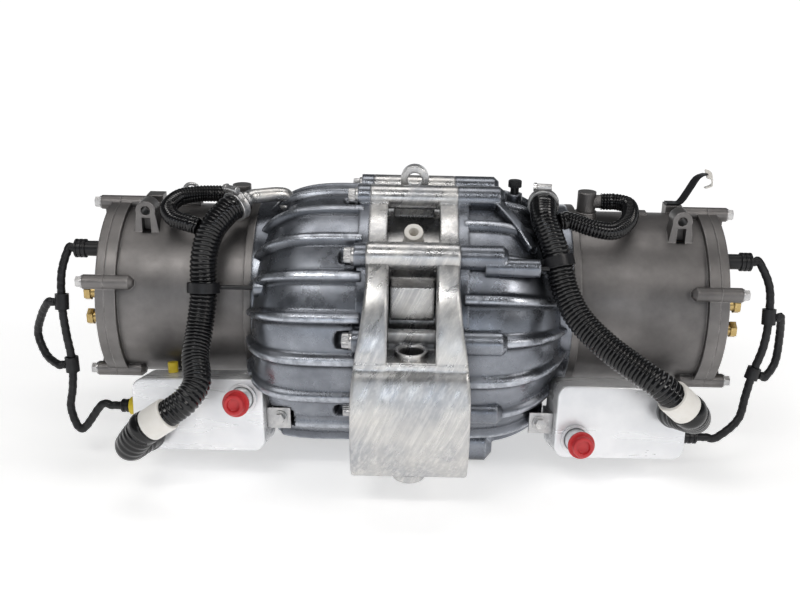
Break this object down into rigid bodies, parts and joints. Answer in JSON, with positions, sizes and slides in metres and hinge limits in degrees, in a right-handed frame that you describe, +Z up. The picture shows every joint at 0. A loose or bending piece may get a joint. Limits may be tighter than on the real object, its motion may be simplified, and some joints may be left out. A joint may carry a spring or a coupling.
{
  "type": "electric drive unit",
  "caption": "Twin-motor electric axle drive unit with ribbed gear cases, a centre casting with a mount snout, oil coolers, corrugated coolant hoses and sensor leads.",
  "frame": {"origin": "on the axis of the front mount bore at the height of the motor axis", "axes": "+X to the right seen from the front along the motor axis, -Y to the front, +Z up along the mount bore"},
  "size_m": [0.8918, 0.3802, 0.3545],
  "materials": {
    "cast_light": "cast and machined, satin",
    "cast_dark": "as cast, matt",
    "cast_warm": "as cast, satin",
    "bolt_steel": "zinc plated",
    "core_steel": "laminated",
    "copper": "enamelled copper",
    "gear_steel": "ground",
    "bearing_steel": "polished",
    "seal_rubber": "matt",
    "cooler_alu": "bright brazed",
    "red_plastic": "satin",
    "hose_plastic": "corrugated, satin",
    "white_plastic": "satin",
    "elbow_rubber": "moulded, matt",
    "black_plastic": "satin",
    "yellow_plastic": "satin",
    "brass": "bare",
    "lead_sheath": "taped, matt"
  },
  "bodies": {
    "housing": {"center_housing": "cast_light", "left_gear_case": "cast_dark", "right_gear_case": "cast_dark", "left_motor_housing": "cast_warm", "right_motor_housing": "cast_warm", "left_end_cover": "cast_warm", "right_end_cover": "cast_warm", "case_bolts": "bolt_steel", "cover_bolts": "bolt_steel", "left_stator_core": "core_steel", "right_stator_core": "core_steel", "left_stator_winding": "copper", "right_stator_winding": "copper", "rotor_bearings": "bearing_steel", "layshaft_bearings": "bearing_steel", "output_bearings": "bearing_steel", "shaft_seals": "seal_rubber", "left_oil_cooler": "cooler_alu", "right_oil_cooler": "cooler_alu", "cooler_brackets": "bolt_steel", "cooler_bolts": "bolt_steel", "port_caps": "red_plastic", "left_coolant_hose": "hose_plastic", "right_coolant_hose": "hose_plastic", "hose_sleeves": "white_plastic", "left_hose_elbow": "elbow_rubber", "right_hose_elbow": "elbow_rubber", "left_loop_hose": "hose_plastic", "right_loop_hose": "hose_plastic", "coolant_pipes": "cast_light", "loop_fittings": "black_plastic", "hose_clamps": "bolt_steel", "hose_clips": "black_plastic", "level_tube": "white_plastic", "breather_cap": "black_plastic", "lifting_bail": "bolt_steel", "sealing_plugs": "yellow_plastic", "cover_plugs": "brass", "sensor_sockets": "black_plastic", "left_sensor_lead": "lead_sheath", "right_sensor_lead": "lead_sheath", "left_branch_lead": "lead_sheath", "right_branch_lead": "lead_sheath", "lead_plugs": "black_plastic", "lead_wraps": "lead_sheath", "tag_strap": "lead_sheath", "strap_tag": "white_plastic"},
    "left_rotor": {"left_rotor_core": "core_steel", "left_rotor_shaft": "gear_steel"},
    "left_lay": {"left_layshaft": "gear_steel", "left_layshaft_gear": "gear_steel"},
    "left_output": {"left_output_gear": "gear_steel", "left_output_shaft": "gear_steel"},
    "right_rotor": {"right_rotor_core": "core_steel", "right_rotor_shaft": "gear_steel"},
    "right_lay": {"right_layshaft": "gear_steel", "right_layshaft_gear": "gear_steel"},
    "right_output": {"right_output_gear": "gear_steel", "right_output_shaft": "gear_steel"}
  },
  "joints": [
    {"name": "left_rotor_spin", "type": "hinge", "parent": "housing", "child": "left_rotor", "pos_m": [-0.2, 0.19, 0], "axis": [1, 0, 0], "continuous": true},
    {"name": "left_layshaft_spin", "type": "hinge", "parent": "housing", "child": "left_lay", "pos_m": [-0.06, 0.114, 0], "axis": [1, 0, 0], "continuous": true},
    {"name": "left_output_spin", "type": "hinge", "parent": "housing", "child": "left_output", "pos_m": [-0.2, 0.19, 0], "axis": [1, 0, 0], "continuous": true},
    {"name": "right_rotor_spin", "type": "hinge", "parent": "housing", "child": "right_rotor", "pos_m": [0.2, 0.19, 0], "axis": [1, 0, 0], "continuous": true},
    {"name": "right_layshaft_spin", "type": "hinge", "parent": "housing", "child": "right_lay", "pos_m": [0.06, 0.114, 0], "axis": [1, 0, 0], "continuous": true},
    {"name": "right_output_spin", "type": "hinge", "parent": "housing", "child": "right_output", "pos_m": [0.2, 0.19, 0], "axis": [1, 0, 0], "continuous": true}
  ],
  "couplings": [
    {"joint": "left_layshaft_spin", "follows": "left_rotor_spin", "ratio": -0.46154},
    {"joint": "left_output_spin", "follows": "left_rotor_spin", "ratio": 0.14324},
    {"joint": "right_layshaft_spin", "follows": "right_rotor_spin", "ratio": -0.46154},
    {"joint": "right_output_spin", "follows": "right_rotor_spin", "ratio": 0.14324}
  ]
}
